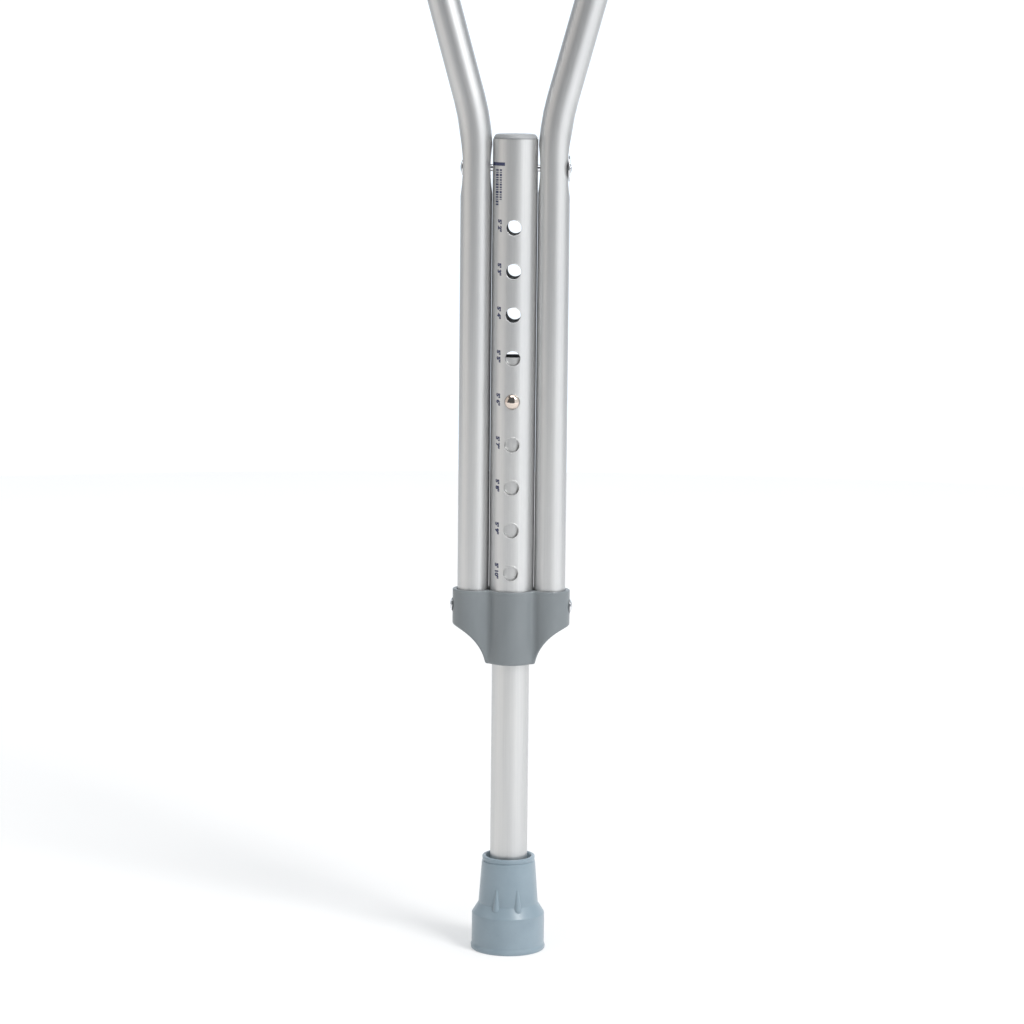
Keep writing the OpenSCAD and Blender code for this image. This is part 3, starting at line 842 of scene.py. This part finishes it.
def grip_washers():
    """The plain washers under the bolt's head and the wing nut."""
    for name, body in (("grip_bolt_washer", "handgrip"), ("wing_nut_washer", "nut_washer")):
        low, high = box_mm(name)
        z, r = (low[2] + high[2]) / 2, (high[2] - low[2]) / 2
        ring = [(3.25, low[0], 0.15), (r, low[0], 0.3), (r, high[0], 0.3), (3.25, high[0], 0.15)]
        piece = turned_piece(f"{name}_shaped", ring, "+X", (0, 0, z), 96, closed=True)
        link(piece, zinc, body, [name])


def wing_nut():
    """The pressed wing nut: a tapered hub with two rounded wings."""
    low, high = box_mm("wing_nut")
    z = (low[2] + high[2]) / 2
    hub_h, hub_r, taper, bore_r = 7.5, (high[1] - low[1]) / 2, 0.6, 3.2
    wing_r, root_r, wing_t = 4.5, 2.9, 2.6
    reach = (high[2] - low[2]) / 2 - wing_r

    def field(p):
        x, y, up = p[:, 0] - low[0], p[:, 1], np.abs(p[:, 2] - z)
        out = np.hypot(y, p[:, 2] - z)
        hub = smooth_max(out - hub_r + taper * x / hub_h, np.maximum(-x, x - hub_h), 0.7)
        root, end = np.array([3.2, 3.0]), np.array([hub_h - 1, reach])
        along = end - root
        t = np.clip(((x - root[0]) * along[0] + (up - root[1]) * along[1]) / (along @ along), 0, 1)
        spine = np.hypot(x - root[0] - t * along[0], up - root[1] - t * along[1])
        wing = smooth_max(spine - (root_r + (wing_r - root_r) * t), np.abs(y) - wing_t / 2, 1.0)
        wing = smooth_max(wing, -x, 0.6)
        return smooth_max(smooth_min(hub, wing, 1.5), bore_r - out, 0.4)

    piece = remeshed("wing_nut_pressed", frame["nodes"]["wing_nut"].data, 0.3)
    pull_to(piece, field, 10)
    link(piece, zinc, "wing_nut", ["wing_nut"])


# ---- Underarm cushion ----

def underarm_cushion():
    """The padded underarm rest: a crowned saddle, pulled in where the uprights enter."""
    low, high = box_mm("underarm_cushion")
    upright_low, upright_high = box_mm("right_upright")
    upright_r = (upright_high[1] - upright_low[1]) / 2
    wide_x = upright_high[0] - upright_r
    half_l, half_w = high[0], high[1]
    end_r, saddle_r = 20.0, 265.0
    saddle_z = high[2] + math.sqrt(saddle_r ** 2 - (half_l - end_r) ** 2)
    shrink = 1.0

    def field(p):
        x, y, z = np.abs(p[:, 0]), np.abs(p[:, 1]), p[:, 2]
        middle_z, half_h = (low[2] + high[2]) / 2, (high[2] - low[2]) / 2 - shrink
        past_x = np.maximum(x - half_l + end_r + shrink, 0)
        past_z = np.maximum(np.abs(z - middle_z) - half_h + end_r, 0)
        body = np.hypot(past_x, past_z) - end_r
        body = smooth_max(body, saddle_r + shrink - np.hypot(x, z - saddle_z), 8)
        body = smooth_max(body, y - half_w + shrink, 16)
        hole = np.hypot(x - wide_x, p[:, 1]) - upright_r - 0.6
        return smooth_max(body, -np.maximum(hole, z - low[2] - 8), 3)

    bar_low, bar_high = box_mm("underarm_bar")
    lining = 1.5
    bulk = bmesh.new()
    bulk.from_mesh(frame["nodes"]["underarm_cushion"].data)
    size = [(bar_high[k] - bar_low[k] + 2 * lining) * MM for k in range(3)]
    centre = [(bar_high[k] + bar_low[k]) / 2 * MM for k in range(3)]
    bmesh.ops.create_cube(bulk, size=1, matrix=Matrix.Translation(centre) @ Matrix.Diagonal((*size, 1)))
    solid = bpy.data.meshes.new("underarm_bulk")
    bulk.to_mesh(solid)
    bulk.free()
    piece = remeshed("underarm_cushion_foam", solid, 3.0)
    pull_to(piece, field, 14)
    link(piece, foam, "frame", ["underarm_cushion"])
    inflate(piece, 300, 3.0)
    subdivided(piece, 2)
    piece.data.shade_smooth()


# ---- Stage ----

def camera():
    """The camera at the photograph's viewing angle: a little to the right, tilted down."""
    distance, height = 2.0, 0.5512
    azimuth, tilt, roll = math.radians(2.4), math.radians(8.16), math.radians(0.577)
    data = bpy.data.cameras.new("camera")
    data.lens = 120.13
    data.sensor_width = 36
    made = bpy.data.objects.new("camera", data)
    place = Matrix.Translation((distance * math.sin(azimuth), -distance * math.cos(azimuth), height))
    turn = Matrix.Rotation(azimuth, 4, "Z") @ Matrix.Rotation(math.pi / 2 - tilt, 4, "X")
    made.matrix_world = place @ turn @ Matrix.Rotation(roll, 4, "Z")
    scene.collection.objects.link(made)
    scene.camera = made


def softbox(name, azimuth, distance, height, size, radiance, colour):
    """A rectangular area light round the crutch. Azimuth 0 is in front, 90 to the right."""
    data = bpy.data.lights.new(name, "AREA")
    data.shape = "RECTANGLE"
    data.size, data.size_y = size
    data.energy = radiance * math.pi * size[0] * size[1]
    data.color = colour
    made = bpy.data.objects.new(name, data)
    made.visible_camera = False
    a = math.radians(azimuth)
    made.location = (distance * math.sin(a), -distance * math.cos(a), height)
    made.rotation_euler = (Vector((0, 0, 0.4)) - made.location).to_track_quat("-Z", "Y").to_euler()
    scene.collection.objects.link(made)


def floor():
    """A plain pale floor, partly self-lit so that it meets the white backdrop."""
    look, tree, shader = material("floor", (0.6, 0.6, 0.6), 0.9)
    paper = stretched_noise(tree, (6, 6, 6), 2)
    tree.links.new(
        blend_colours(tree, spread(tree, paper, 0, 1), (0.59, 0.59, 0.59), (0.61, 0.61, 0.61)),
        shader.inputs["Base Color"],
    )
    shader.inputs["Emission Color"].default_value = (1, 1, 1, 1)
    distance = node(tree, "ShaderNodeVectorMath", operation="LENGTH")
    tree.links.new(tree.nodes.new("ShaderNodeTexCoord").outputs["Object"], distance.inputs[0])
    glow = spread(tree, distance.outputs["Value"], 0.36, 0.68, 0, 1.6)
    tree.links.new(glow, shader.inputs["Emission Strength"])
    points, faces = lathe([(0, 0), (2200, 0)], steps=96)
    disc = mesh_piece("floor", points, faces)
    disc.data.materials.append(look)
    scene.collection.objects.link(disc)


def world():
    """A backdrop that is white to the camera, and a dimmer room for the metal to mirror."""
    made = bpy.data.worlds.new("studio")
    made.use_nodes = True
    tree = made.node_tree
    background = tree.nodes["Background"]
    background.inputs["Color"].default_value = (0.86, 0.93, 1, 1)
    direction = tree.nodes.new("ShaderNodeSeparateXYZ")
    tree.links.new(tree.nodes.new("ShaderNodeTexCoord").outputs["Generated"], direction.inputs["Vector"])
    around = spread(tree, direction.outputs["Y"], 0.14, 0.42, -0.1, 0.5)
    behind = spread(tree, direction.outputs["Y"], 0, 1.3, 0.62, 0.9)
    brighter = node(tree, "ShaderNodeMath", operation="MAXIMUM")
    tree.links.new(around, brighter.inputs[0])
    tree.links.new(behind, brighter.inputs[1])
    room = brighter.outputs[0]
    mix = tree.nodes.new("ShaderNodeMix")
    tree.links.new(tree.nodes.new("ShaderNodeLightPath").outputs["Is Camera Ray"], mix.inputs[0])
    tree.links.new(room, mix.inputs[2])
    backdrop = 1.25
    mix.inputs[3].default_value = backdrop
    tree.links.new(mix.outputs[0], background.inputs["Strength"])
    scene.world = made


keep_nodes()
hole_rims()
collar()
collar_rivet_heads()
tube_cap()
through_rivet()
snap_buttons()
height_scale()
rubber_tip()
grip_core()
grip_cushion()
grip_bolt()
grip_washers()
wing_nut()
underarm_cushion()
camera()
floor()
world()
scene.view_settings.view_transform = "Standard"
softbox("key", 62, 1.8, 0.9, (2.4, 2.4), 0.94, (0.96, 0.98, 1.0))
softbox("fill", -74, 1.8, 0.9, (1.9, 2.2), 0.66, (1.0, 0.935, 0.87))
softbox("high_key", 46, 1.6, 1.75, (0.6, 0.6), 25.0, (1.0, 0.99, 0.98))
softbox("top", 10, 0.3, 2.4, (1.5, 1.5), 3.0, (1.0, 1.0, 1.0))
